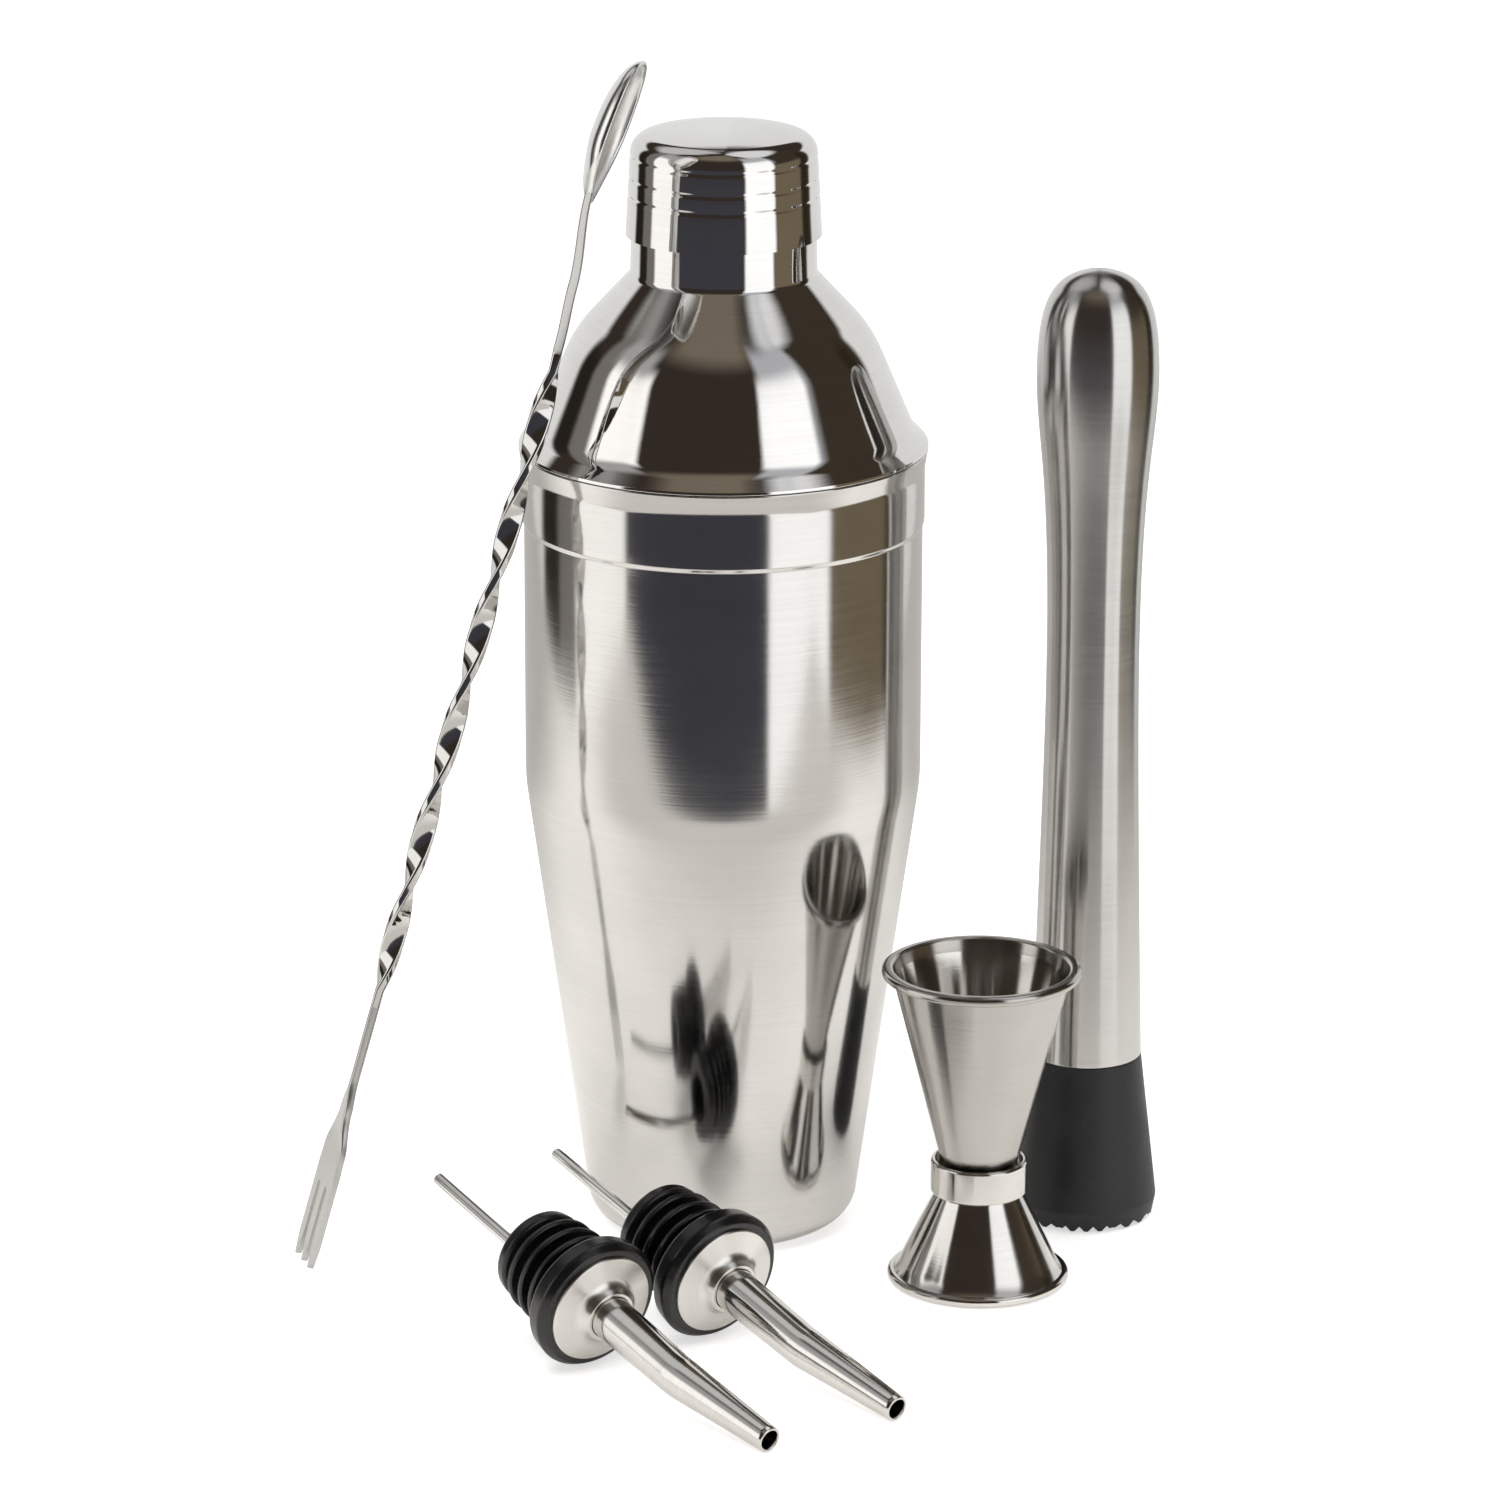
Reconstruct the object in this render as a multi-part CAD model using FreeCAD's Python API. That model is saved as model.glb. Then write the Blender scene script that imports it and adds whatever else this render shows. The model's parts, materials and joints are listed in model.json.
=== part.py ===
"""Cocktail shaker set: three-piece shaker, double jigger, muddler, bar spoon and two bottle pourers.

Millimetres, +Z up. The origin is the middle of the shaker's foot, on the surface that everything
stands or lies on. +X is to the right of the set and -Y is its front. Each piece is built upright
in its own frame and then put in its place.
"""
import FreeCAD, Part
import os
from math import atan, cos, pi, radians, sin, tan

V = FreeCAD.Vector
ORIGIN = V(0, 0, 0)
UP = V(0, 0, 1)

# ---- sheet thicknesses -------------------------------------------------------------------------
shaker_wall = 0.6
jigger_wall = 0.6
handle_wall = 0.8
bowl_wall = 0.9

# ---- shaker ------------------------------------------------------------------------------------
tin_r = 42.4             # outside radius above the knee
tin_foot_corner_r = 28.4  # where the cone would meet the table
foot_recess = 1.4
foot_ring_r = 19.5       # inner edge of the ring that the tin stands on
knee_z = 100.0
band_r = 42.8            # the mouth is pressed out to take the strainer's skirt
band_z = 157.4
rim_r = 43.5
rim_z = 173.2
lid_gap = 0.2            # between the tin's rim and the strainer's ledge
skirt_r = 41.95
skirt_depth = 11.5
shoulder_foot = (40.4, 177.2)
shoulder_knee = (31.6, 198.0)
neck_root = (19.75, 210.8)
neck_mouth = (19.2, 231.0)
plate_z = 222.0
plate_r = 18.85
plate_thickness = 0.8
plate_rim_depth = 3.0
strainer_hole_r = 1.4
strainer_ring_pitch = 4.6
strainer_ring_count = 3
cap_edge = (20.7, 219.0)
cap_shoulder = (19.55, 240.0)
cap_top_z = 241.2
cap_groove_section_r = 0.4
cap_groove_centre = 0.12  # outside the cap's face
cap_groove_heights = (227.4, 231.1, 235.7)

# ---- double jigger -----------------------------------------------------------------------------
jigger_place = V(54.8, -39.5, 0)
jigger_bead_r = 1.0
large_rim_r = 21.1
small_rim_r = 19.4
jigger_height = 70.0
large_floor_r = 7.4
jigger_seam_z = 23.5      # the two cups are welded bottom to bottom here
jigger_band_r = 10.3
jigger_band_bore_r = 9.3
jigger_band_z = (19.8, 27.0)

# ---- muddler -----------------------------------------------------------------------------------
muddler_place = V(79.2, 1.6, 0)
muddler_height = 211.0
crown_centre_z = 197.5
muddler_joint_z = 36.5
muddler_joint_r = 12.0
muddler_head_r = 15.8
spigot_r = 10.4
spigot_length = 18.0
tooth_depth = 1.2
tooth_pitch = 3.0
tooth_flat = 0.8

# ---- bar spoon ---------------------------------------------------------------------------------
spoon_foot = V(-89.7, -33.4, 0)
spoon_lean = 15.6         # degrees from upright, towards the shaker
spoon_heading = 4.6       # degrees from +X, the way it leans
spoon_roll = -6.3         # degrees about its own length
stem_width = 4.8
stem_thickness = 2.0
twist_start = 64.0        # distances along the spoon from the fork's tips
twist_end = 203.5
twist_turns = 3
sections_per_turn = 12
blade_top = 26.0
blade_thickness = 1.4
blade_turn = 25.0
tine_width = 2.3
tine_pitch = 3.9
tine_length = 18.0
tine_point_length = 5.0
tine_tip_half_width = 0.4
bowl_centre = (-0.6, 255.0)   # across the spoon, along it
bowl_length = 31.6
bowl_width = 21.0
bowl_depth = 4.8
bowl_pitch = 4.6
bowl_turn = -11.0

# ---- pourers -----------------------------------------------------------------------------------
flange_r = 14.5
flange_thickness = 6.2
flange_touch_r = 14.34    # the flange's widest line, which rests on the table
flange_touch_z = -1.2
plug_length = 24.0
fin_heights = (-9.4, -13.4, -17.4)
fin_tip_r = 11.4
fin_taper = 0.06          # how much each fin shrinks per millimetre towards the small end
core_r = 8.6
plug_bore_r = 5.5
disc_r = 11.9
spout_root_r = 4.7
spout_bend_r = 4.3
spout_tip_r = 2.7
spout_wall = 0.6
spout_bend_z = 28.0
spout_bend_angle = 5.0
spout_bend_direction = 30.0
spout_bend_length = 3.0
spout_end_z = 57.0
air_tube_r = 1.3
air_tube_bore_r = 0.85
air_tube_offset = V(1.2, -4.0, 0)
air_tube_end_z = -61.5
pourers = {
    "a": {"at": (-24.85, -92.67), "heading": 36.5},
    "b": {"at": (0.4, -76.8), "heading": 37.3},
}


# ---- helpers -----------------------------------------------------------------------------------
def rounded_face(corners):
    """Face in the XZ plane through (radius, height, rounding) corners, rounded by tangent arcs."""
    points = [V(corner[0], 0, corner[1]) for corner in corners]
    joins = []
    for i, at in enumerate(points):
        size = corners[i][2] if len(corners[i]) == 3 else 0
        if not size:
            joins.append((at, None, at))
            continue
        into = (at - points[i - 1]).normalize()
        onward = (points[(i + 1) % len(points)] - at).normalize()
        half_turn = into.getAngle(onward) / 2
        reach = size * tan(half_turn)
        middle = at + (onward - into).normalize() * (size / cos(half_turn) - size)
        joins.append((at - into * reach, middle, at + onward * reach))
    edges = []
    for i, (start, middle, end) in enumerate(joins):
        if middle:
            edges.append(Part.Arc(start, middle, end).toShape())
        following = joins[(i + 1) % len(joins)][0]
        if end.distanceToPoint(following) > 1e-6:
            edges.append(Part.makeLine(end, following))
    return Part.Face(Part.Wire(edges))


def turned(corners):
    """Solid of revolution about Z of a closed half-section."""
    return rounded_face(corners).revolve(ORIGIN, UP, 360)


def sheet(path, wall):
    """Spun sheet metal: the outside of a half-section, from its foot up, thickened inwards."""
    points = [V(corner[0], 0, corner[1]) for corner in path]
    normals = []
    for a, b in zip(points, points[1:]):
        along = (b - a).normalize()
        normals.append(V(-along.z, 0, along.x))
    inside = []
    for i, at in enumerate(points):
        before = normals[max(i - 1, 0)]
        after = normals[min(i, len(normals) - 1)]
        shift = (before + after) * (wall / (1 + before.dot(after)))
        size = path[i][2] if len(path[i]) == 3 else 0
        if size:
            towards_inside = before.cross(after).y < 0
            size = max(size - wall, 0.05) if towards_inside else size + wall
        inside.append((max(at.x + shift.x, 0), at.z + shift.z, size))
    return turned(list(path) + inside[::-1])


def fused(shapes):
    """One solid from several overlapping ones."""
    return shapes[0].multiFuse(shapes[1:]).removeSplitter()


def rectangle(thickness, width, across, along, turn=0.0):
    """Wire of a flat bar's section, at a distance along Z, turned about Z."""
    corners = [(-1, -1), (1, -1), (1, 1), (-1, 1), (-1, -1)]
    wire = Part.makePolygon([V(i * thickness / 2, j * width / 2, 0) for i, j in corners])
    wire.rotate(ORIGIN, UP, turn)
    wire.translate(V(across, 0, along))
    return wire


def half_ellipsoid(half_length, half_width, depth):
    """The bowl's form: the half of an ellipsoid below X = 0, long along Z."""
    ball = Part.makeSphere(1.0, ORIGIN, V(1, 0, 0))
    scale = FreeCAD.Matrix()
    scale.scale(depth, half_width, half_length)
    ball = ball.transformGeometry(scale)
    keep = Part.makeBox(depth * 2, half_width * 4, half_length * 4)
    keep.translate(V(-depth * 2, -half_width * 2, -half_length * 2))
    return ball.common(keep)


# ---- shaker ------------------------------------------------------------------------------------
def make_tin():
    return sheet([
        (0, foot_recess),
        (foot_ring_r - 2.0, foot_recess, 1.5),
        (foot_ring_r, 0, 1.2),
        (tin_foot_corner_r, 0, 7.0),
        (tin_r, knee_z, 45.0),
        (tin_r, band_z - 0.8, 0.8),
        (band_r, band_z, 0.8),
        (band_r, rim_z - 5.2, 12.0),
        (rim_r, rim_z),
    ], shaker_wall)


def make_strainer_top():
    """Skirt, ledge, shoulder and neck, spun from one sheet."""
    ledge_z = rim_z + lid_gap
    skirt_bore_r = skirt_r - shaker_wall
    return turned([
        (skirt_r, ledge_z - skirt_depth),
        (skirt_r, ledge_z),
        (rim_r, ledge_z, 0.2),
        (rim_r - 0.1, ledge_z + 0.7, 0.2),
        (*shoulder_foot, 8.0),
        (*shoulder_knee, 30.0),
        (*neck_root, 2.0),
        (*neck_mouth, 0.2),
        (neck_mouth[0] - shaker_wall, neck_mouth[1], 0.2),
        (neck_root[0] - shaker_wall, neck_root[1] - 0.4, 2.6),
        (shoulder_knee[0] - 0.4, shoulder_knee[1] - 0.6, 29.4),
        (shoulder_foot[0] - 0.5, shoulder_foot[1] - 0.3, 8.6),
        (skirt_bore_r, 175.2, 1.0),
        (skirt_bore_r, ledge_z - skirt_depth),
    ])


def make_strainer_plate():
    """Pressed disc with a turned-down rim and rings of drain holes."""
    outline = [(plate_r, plate_z - plate_rim_depth), (plate_r, plate_z, 1.2), (0, plate_z)]
    plate = sheet(outline, plate_thickness)
    holes = [Part.makeCylinder(strainer_hole_r, 4, V(0, 0, plate_z - 2))]
    for ring in range(1, strainer_ring_count + 1):
        for step in range(6 * ring):
            angle = 2 * pi * step / (6 * ring)
            radius = ring * strainer_ring_pitch
            centre = V(radius * cos(angle), radius * sin(angle), plate_z - 2)
            holes.append(Part.makeCylinder(strainer_hole_r, 4, centre))
    return plate.cut(holes)


def make_cap():
    cap = sheet([
        cap_edge,
        (*cap_shoulder, 4.2),
        (12.0, cap_top_z - 0.2, 40.0),
        (0, cap_top_z),
    ], shaker_wall)
    taper = (cap_edge[0] - cap_shoulder[0]) / (cap_shoulder[1] - cap_edge[1])
    grooves = []
    for z in cap_groove_heights:
        radius = cap_edge[0] - taper * (z - cap_edge[1])
        grooves.append(Part.makeTorus(radius + cap_groove_centre, cap_groove_section_r, V(0, 0, z)))
    return cap.cut(grooves)


# ---- double jigger -----------------------------------------------------------------------------
def rolled_rim(radius, z):
    """The sheet's edge rolled outwards into a bead."""
    return Part.makeTorus(radius - jigger_bead_r, jigger_bead_r, V(0, 0, z))


def make_large_cup():
    cup = sheet([
        (0, jigger_seam_z),
        (large_floor_r, jigger_seam_z, 1.2),
        (large_rim_r - 1.9, jigger_height - 0.8),
    ], jigger_wall)
    return fused([cup, rolled_rim(large_rim_r, jigger_height - jigger_bead_r)])


def make_small_cup():
    """The cup that opens downwards; its closed end is a plug that the band slips over."""
    wall = jigger_wall
    foot_r = small_rim_r - 1.8
    cup = turned([
        (0, jigger_seam_z),
        (jigger_band_bore_r, jigger_seam_z, 0.6),
        (jigger_band_bore_r, jigger_band_z[0] - 0.4, 1.0),
        (foot_r, 2.4, 12.0),
        (foot_r + 0.6, 0.9),
        (foot_r, 0.7),
        (foot_r - wall, 2.4, 11.0),
        (jigger_band_bore_r - wall, jigger_band_z[0] - 0.4, 1.0),
        (jigger_band_bore_r - wall, jigger_seam_z - wall, 1.0),
        (0, jigger_seam_z - wall),
    ])
    return fused([cup, rolled_rim(small_rim_r, jigger_bead_r)])


def make_jigger_band():
    low, high = jigger_band_z
    return turned([
        (jigger_band_bore_r, low),
        (jigger_band_r, low, 0.4),
        (jigger_band_r, high, 0.6),
        (jigger_band_bore_r, high, 0.3),
    ])


# ---- muddler -----------------------------------------------------------------------------------
def handle_curve(inset):
    """Outline of the hand-shaped handle from its crown to its foot, drawn in by a sheet's thickness."""
    outline = [(7.8, 208.6), (12.7, 196.0), (11.5, 169.0), (9.95, 133.0), (10.4, 95.0)]
    points = [V(0, 0, muddler_height - inset)]
    for radius, z in outline:
        centre = V(0, 0, min(z, crown_centre_z))
        outwards = (V(radius, 0, z) - centre).normalize()
        points.append(V(radius, 0, z) - outwards * inset)
    points.append(V(muddler_joint_r - inset, 0, muddler_joint_z))
    curve = Part.BSplineCurve()
    curve.interpolate(Points=points, InitialTangent=V(1, 0, 0), FinalTangent=V(0.03, 0, -1), Scale=False)
    return curve


def make_muddler_handle():
    """A drawn steel shell, open at the bottom."""
    outside = handle_curve(0)
    inside = handle_curve(handle_wall)
    section = Part.Wire([
        outside.toShape(),
        Part.makeLine(outside.EndPoint, inside.EndPoint),
        inside.toShape(),
        Part.makeLine(inside.StartPoint, outside.StartPoint),
    ])
    return Part.Face(section).revolve(ORIGIN, UP, 360)


def make_muddler_head():
    """Tapered nylon head with a spigot up into the handle and a grid of pyramid teeth below."""
    joint = muddler_joint_z
    head = turned([
        (0, 0),
        (muddler_head_r - 0.8, 0),
        (muddler_head_r, 4.0, 3.0),
        (muddler_joint_r, joint, 0.3),
        (spigot_r, joint),
        (spigot_r, joint + spigot_length, 1.0),
        (0, joint + spigot_length),
    ])
    half_width = (tooth_pitch - tooth_flat) / 2
    reach = 2 * muddler_head_r + 4
    profile = [V(-half_width, -reach / 2, 0), V(0, -reach / 2, tooth_depth), V(half_width, -reach / 2, 0)]
    groove = Part.Face(Part.makePolygon(profile + profile[:1])).extrude(V(0, reach, 0))
    count = int(muddler_head_r / tooth_pitch) + 1
    grooves = []
    for turn in (0, 90):
        for step in range(-count, count):
            cutter = groove.copy()
            cutter.translate(V((step + 0.5) * tooth_pitch, 0, 0))
            cutter.rotate(ORIGIN, UP, turn)
            grooves.append(cutter)
    return head.cut(grooves)


# ---- bar spoon ---------------------------------------------------------------------------------
def make_spoon_stem():
    """Flat bar twisted three full turns, right-handed."""
    count = twist_turns * sections_per_turn
    sections = []
    for i in range(count + 1):
        along = twist_start + (twist_end - twist_start) * i / count
        turn = 360.0 * i / sections_per_turn
        sections.append(rectangle(stem_thickness, stem_width, 0, along, turn))
    return Part.makeLoft(sections, True, False)


def make_spoon_fork():
    """Shank, turned shoulder and a flat blade with three pointed tines."""
    shank = Part.makeLoft([
        rectangle(stem_thickness, stem_width, 0, twist_start),
        rectangle(stem_thickness, stem_width - 0.4, 0, 42.0),
    ], True, True)
    blade_width = 2 * tine_pitch + tine_width
    shoulder = Part.makeLoft([
        rectangle(stem_thickness, stem_width - 0.4, 0, 42.0),
        rectangle(1.8, 6.2, 0, 35.5, blade_turn * 0.5),
        rectangle(blade_thickness, blade_width, 0, blade_top, blade_turn),
    ], True, True)
    root = tine_length - 0.5
    plate = Part.makeBox(blade_thickness, blade_width, blade_top - root)
    plate.translate(V(-blade_thickness / 2, -blade_width / 2, root))
    half = tine_width / 2
    tip = tine_tip_half_width
    point = tine_point_length
    tines = []
    for offset in (-tine_pitch, 0, tine_pitch):
        outline = [(-half, root + 1), (-half, point), (-tip, 0), (tip, 0), (half, point), (half, root + 1)]
        corners = [V(-blade_thickness / 2, offset + y, z) for y, z in outline + outline[:1]]
        tines.append(Part.Face(Part.makePolygon(corners)).extrude(V(blade_thickness, 0, 0)))
    slot_ends = []
    slot_r = (tine_pitch - tine_width) / 2
    for side in (-1, 1):
        centre = V(-blade_thickness, side * tine_pitch / 2, root)
        slot_ends.append(Part.makeCylinder(slot_r, 2 * blade_thickness, centre, V(1, 0, 0)))
    blade = fused([plate] + tines).cut(slot_ends)
    blade.rotate(ORIGIN, UP, blade_turn)
    return fused([shank, shoulder, blade])


def make_spoon_bowl():
    """Oval bowl on a slim neck; its hollow faces the shaker."""
    across, along = bowl_centre
    half_length = bowl_length / 2
    forms = []
    for wall in (0, bowl_wall):
        form = half_ellipsoid(half_length - wall, bowl_width / 2 - wall, bowl_depth - wall)
        form.rotate(ORIGIN, V(0, 1, 0), bowl_pitch)
        form.rotate(ORIGIN, UP, bowl_turn)
        form.translate(V(across, 0, along))
        forms.append(form)
    neck = Part.makeLoft([
        rectangle(stem_thickness, stem_width, 0, twist_end),
        rectangle(2.1, 4.2, -0.8, 222.0),
        rectangle(1.7, 5.0, -2.7, along - half_length + 2.2),
    ], True, False)
    outside, hollow = forms
    return fused([outside, neck]).cut(hollow)


# ---- pourers: built along Z, small end of the stopper down, spout up ----------------------------
def make_stopper():
    """Finned rubber plug with a thick flange; z = 0 is the flange's front."""
    section = [
        (plug_bore_r, 0),
        (flange_r - 1.2, 0, 0.8),
        (flange_r, -1.6, 1.2),
        (flange_r - 0.5, -flange_thickness + 0.8, 1.2),
        (flange_r - 2.2, -flange_thickness, 0.6),
        (core_r, -flange_thickness - 0.4, 0.5),
    ]
    for z in fin_heights:
        tip_r = fin_tip_r + fin_taper * (z - fin_heights[0])
        section += [
            (core_r, z + 0.9, 0.4),
            (tip_r, z + 0.5, 0.4),
            (tip_r, z - 0.5, 0.4),
            (core_r, z - 0.9, 0.4),
        ]
    section += [
        (core_r, -plug_length + 4.2, 0.4),
        (10.3, -plug_length + 3.4, 0.9),
        (9.9, -plug_length + 0.6, 1.4),
        (8.4, -plug_length, 0.6),
        (plug_bore_r, -plug_length),
    ]
    return turned(section)


def make_disc():
    """Spun steel cover on the flange, with a raised boss that holds the spout."""
    return turned([
        (disc_r - 0.8, 0),
        (disc_r, 0),
        (disc_r, 0.7, 0.3),
        (6.6, 2.2, 3.0),
        (5.5, 4.2, 0.3),
        (spout_root_r, 4.2),
        (spout_root_r, 1.4),
        (6.0, 1.4, 0.5),
    ])


def spout_form(inset, overrun):
    """The spout's tapered, slightly bent form, drawn in by inset and run on past both ends."""
    bend_start = spout_bend_z - spout_bend_length / 2
    root_z = 1.4
    lower = Part.makeCone(spout_root_r - inset, spout_bend_r - inset, bend_start - root_z, V(0, 0, root_z))
    radius = spout_bend_length / radians(spout_bend_angle)
    mouth = Part.makeCircle(spout_bend_r - inset, V(0, 0, bend_start))
    bend = Part.Face(Part.Wire(mouth)).revolve(V(radius, 0, bend_start), V(0, 1, 0), spout_bend_angle)
    turned_by = radians(spout_bend_angle)
    along = V(sin(turned_by), 0, cos(turned_by))
    bend_end = V(radius * (1 - cos(turned_by)), 0, bend_start + radius * sin(turned_by))
    upper_length = (spout_end_z - bend_end.z) / along.z
    upper = Part.makeCone(spout_bend_r - inset, spout_tip_r - inset, upper_length, bend_end, along)
    pieces = [lower, bend, upper]
    if overrun:
        pieces.append(Part.makeCylinder(spout_root_r - inset, overrun, V(0, 0, root_z - overrun)))
        tip = bend_end + along * upper_length
        pieces.append(Part.makeCylinder(spout_tip_r - inset, overrun, tip, along))
    form = fused(pieces)
    form.rotate(ORIGIN, UP, spout_bend_direction)
    return form


def make_spout():
    return spout_form(0, 0).cut(spout_form(spout_wall, 2.0))


def make_air_tube():
    """Thin breather tube, off the stopper's axis, open at both ends."""
    length = 1.0 - air_tube_end_z
    outside = Part.makeCylinder(air_tube_r, length, V(0, 0, air_tube_end_z))
    inside = Part.makeCylinder(air_tube_bore_r, length + 2, V(0, 0, air_tube_end_z - 1))
    tube = outside.cut(inside)
    tube.translate(air_tube_offset)
    return tube


# ---- places ------------------------------------------------------------------------------------
def stand(shape, place):
    shape.translate(place)
    return shape


def lean(shape, lift):
    """Put a spoon piece in its leaning place, raised until the tines rest on the table."""
    shape.rotate(ORIGIN, UP, spoon_roll)
    shape.rotate(ORIGIN, V(0, 1, 0), spoon_lean)
    shape.rotate(ORIGIN, UP, spoon_heading)
    shape.translate(spoon_foot + V(0, 0, lift))
    return shape


def lay(shape, place):
    """Lay a pourer down: the flange's edge and the spout's tip touch the table."""
    bend_reach = (spout_end_z - spout_bend_z) * tan(radians(spout_bend_angle))
    bend_rise = bend_reach * sin(radians(spout_bend_direction))
    pitch = atan((flange_touch_r + bend_rise - spout_tip_r) / (spout_end_z - flange_touch_z))
    heading = radians(place["heading"])
    side = V(cos(heading), sin(heading), 0)
    along = V(sin(heading) * cos(pitch), -cos(heading) * cos(pitch), -sin(pitch))
    x, y = place["at"]
    turn = FreeCAD.Rotation(side, along.cross(side), along, "ZXY")
    height = flange_touch_r * cos(pitch) + flange_touch_z * sin(pitch)
    shape.Placement = FreeCAD.Placement(V(x, y, height), turn).multiply(shape.Placement)
    return shape


def build():
    nodes = {
        "shaker_tin": make_tin(),
        "strainer_top": make_strainer_top(),
        "strainer_plate": make_strainer_plate(),
        "shaker_cap": make_cap(),
        "jigger_large_cup": stand(make_large_cup(), jigger_place),
        "jigger_small_cup": stand(make_small_cup(), jigger_place),
        "jigger_band": stand(make_jigger_band(), jigger_place),
        "muddler_handle": stand(make_muddler_handle(), muddler_place),
        "muddler_head": stand(make_muddler_head(), muddler_place),
    }
    fork = lean(make_spoon_fork(), 0)
    lift = -fork.BoundBox.ZMin
    nodes["spoon_fork"] = stand(fork, V(0, 0, lift))
    nodes["spoon_stem"] = lean(make_spoon_stem(), lift)
    nodes["spoon_bowl"] = lean(make_spoon_bowl(), lift)
    for name, place in pourers.items():
        nodes[f"pourer_{name}_stopper"] = lay(make_stopper(), place)
        nodes[f"pourer_{name}_disc"] = lay(make_disc(), place)
        nodes[f"pourer_{name}_spout"] = lay(make_spout(), place)
        nodes[f"pourer_{name}_air_tube"] = lay(make_air_tube(), place)
    return nodes


os.makedirs("parts", exist_ok=True)
for node, shape in build().items():
    solids = shape.Solids
    state = "valid" if shape.isValid() else "BROKEN"
    print(node, state, len(solids), "solid", round(shape.Volume, 1), "mm3")
    shape.exportStep(f"parts/{node}.step")
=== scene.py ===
"""Looks for the cocktail shaker set: turned steel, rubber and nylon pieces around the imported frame.

Outlines are in millimetres, in each piece's own frame: radius and height about the piece's axis.
"""
import json
import math

import bmesh
import bpy
import numpy as np
from mathutils import Matrix, Vector


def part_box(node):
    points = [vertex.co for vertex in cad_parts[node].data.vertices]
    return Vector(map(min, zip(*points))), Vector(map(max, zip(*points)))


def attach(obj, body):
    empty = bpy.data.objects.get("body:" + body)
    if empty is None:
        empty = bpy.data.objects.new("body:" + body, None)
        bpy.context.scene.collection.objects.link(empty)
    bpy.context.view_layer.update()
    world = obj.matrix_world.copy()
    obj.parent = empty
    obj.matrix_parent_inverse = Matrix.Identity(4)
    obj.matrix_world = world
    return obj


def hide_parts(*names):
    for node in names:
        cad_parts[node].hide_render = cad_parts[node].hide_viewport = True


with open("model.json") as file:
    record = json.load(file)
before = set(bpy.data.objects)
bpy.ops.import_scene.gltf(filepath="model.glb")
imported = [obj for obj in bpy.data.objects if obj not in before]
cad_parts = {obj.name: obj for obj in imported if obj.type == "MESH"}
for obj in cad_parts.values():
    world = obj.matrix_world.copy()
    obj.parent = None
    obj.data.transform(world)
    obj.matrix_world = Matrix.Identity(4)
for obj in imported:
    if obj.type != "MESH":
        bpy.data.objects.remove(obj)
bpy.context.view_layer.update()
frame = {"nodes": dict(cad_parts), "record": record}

MM = 0.001
DEGREES = 180 / math.pi
scene = bpy.context.scene


def middle_of(node):
    """Where a standing node's axis meets the table."""
    low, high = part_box(node)
    return Vector(((low.x + high.x) / 2, (low.y + high.y) / 2, 0.0))


# ---- studio ------------------------------------------------------------------------------------
CAMERA_AT = (0.0058, -1.430, 0.548)
CAMERA_PITCH = 17.2          # degrees below the horizon
CAMERA_ROLL = 0.16
CAMERA_LENS = 167.2
CAMERA_SENSOR = 36.0
CAMERA_NEAR = 0.05
TABLE_X = (-0.47, 0.43)      # the white sweep that the steel can see
TABLE_Y = (-0.355, 0.75)
TABLE_EDGE = 0.05            # width of the stretch over which it fades out
TABLE_WHITE = (0.95, 0.935, 0.905)
TABLE_FRONT_PAINTED_SHADE = (0.63, 0.61, 0.58)
TABLE_FRONT_SHADE_SPAN = (-0.21, -0.05)   # painted shade: it is dimmer towards the camera,
TABLE_BACK_PAINTED_SHADE = (0.50, 0.49, 0.47)
TABLE_BACK_SHADE_SPAN = (0.02, 0.30)  # and behind the set
TABLE_Z, TABLE_GLOW = -0.0006, 0.24
FLOOR_Z, FLOOR_GLOW = -0.0003, 0.6   # the floor lies over the table, for the camera alone
FLOOR_REACH = (-6.0, 6.0)
FLOOR_WHITE = (0.88, 0.88, 0.87)
SHEET_ROUGHNESS, SHEET_SHINE = 0.9, 0.1
# Lights from above: name, place, width and power.
LIGHTS = [
    ("key_light", (-0.5, -0.6, 1.6), 1.2, 16.0),
    ("fill_light", (0.9, 0.3, 1.5), 1.4, 10.0),
]

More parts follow.
